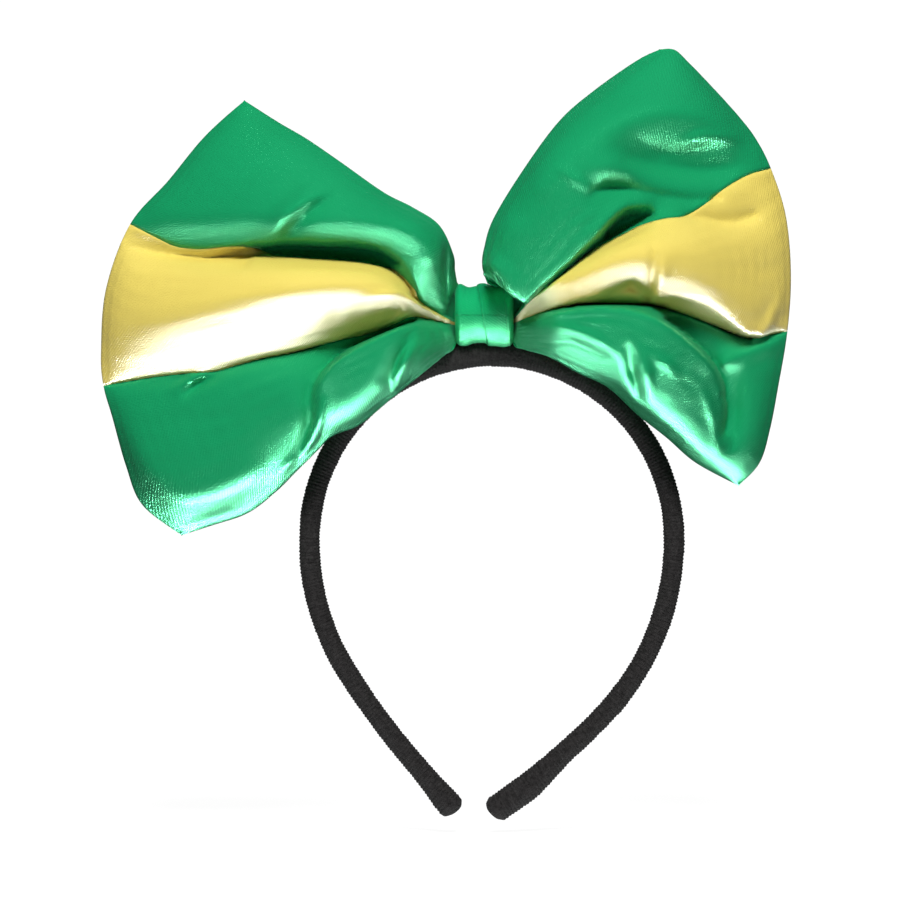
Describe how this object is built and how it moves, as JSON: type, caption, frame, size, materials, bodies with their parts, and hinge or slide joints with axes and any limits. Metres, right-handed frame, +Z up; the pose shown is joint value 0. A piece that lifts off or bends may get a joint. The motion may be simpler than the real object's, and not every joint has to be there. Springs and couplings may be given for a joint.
{
  "type": "striped hair bow headband",
  "caption": "Large padded satin bow with a contrasting middle stripe, tied with a ribbon knot and fixed on a sprung, fabric-covered headband worn over the head.",
  "frame": {"origin": "underside of the band at its crown, where it rests on the head", "axes": "+Z up as worn, +X to the right seen from the front, -Y towards the front, out of the bow's face"},
  "size_m": [0.2292, 0.0485, 0.2558],
  "materials": {
    "core_plastic": "moulded black plastic strip",
    "black_sleeve": "black plush knit with fine ribs across the band",
    "hot_glue": "set hot-melt glue, milky",
    "white_wadding": "loose polyester wadding",
    "green_satin": "shiny polyester satin, emerald green",
    "yellow_satin": "shiny polyester satin, pale yellow",
    "green_ribbon": "pleated satin ribbon, emerald green",
    "green_thread": "polyester sewing thread, green"
  },
  "bodies": {
    "crown": {"band_core_crown": "core_plastic", "band_sleeve_crown": "black_sleeve", "bow_wadding": "white_wadding", "upper_green_strip": "green_satin", "yellow_strip": "yellow_satin", "lower_green_strip": "green_satin", "stripe_seam_thread": "green_thread", "gathering_thread": "green_thread", "knot_ribbon": "green_ribbon", "knot_stitches": "green_thread", "glue_pad": "hot_glue"},
    "left_arm": {"band_core_left_arm": "core_plastic", "band_sleeve_left_arm": "black_sleeve", "tip_glue_left": "hot_glue"},
    "right_arm": {"band_core_right_arm": "core_plastic", "band_sleeve_right_arm": "black_sleeve", "tip_glue_right": "hot_glue"}
  },
  "joints": [
    {"name": "left_flex", "type": "hinge", "parent": "crown", "child": "left_arm", "pos_m": [-0.03977, 0, -0.00649], "axis": [0, 1, 0], "range_deg": [0, 22], "stiffness_Nm_per_rad": 0.5},
    {"name": "right_flex", "type": "hinge", "parent": "crown", "child": "right_arm", "pos_m": [0.03977, 0, -0.00649], "axis": [0, -1, 0], "range_deg": [0, 22], "stiffness_Nm_per_rad": 0.5}
  ]
}
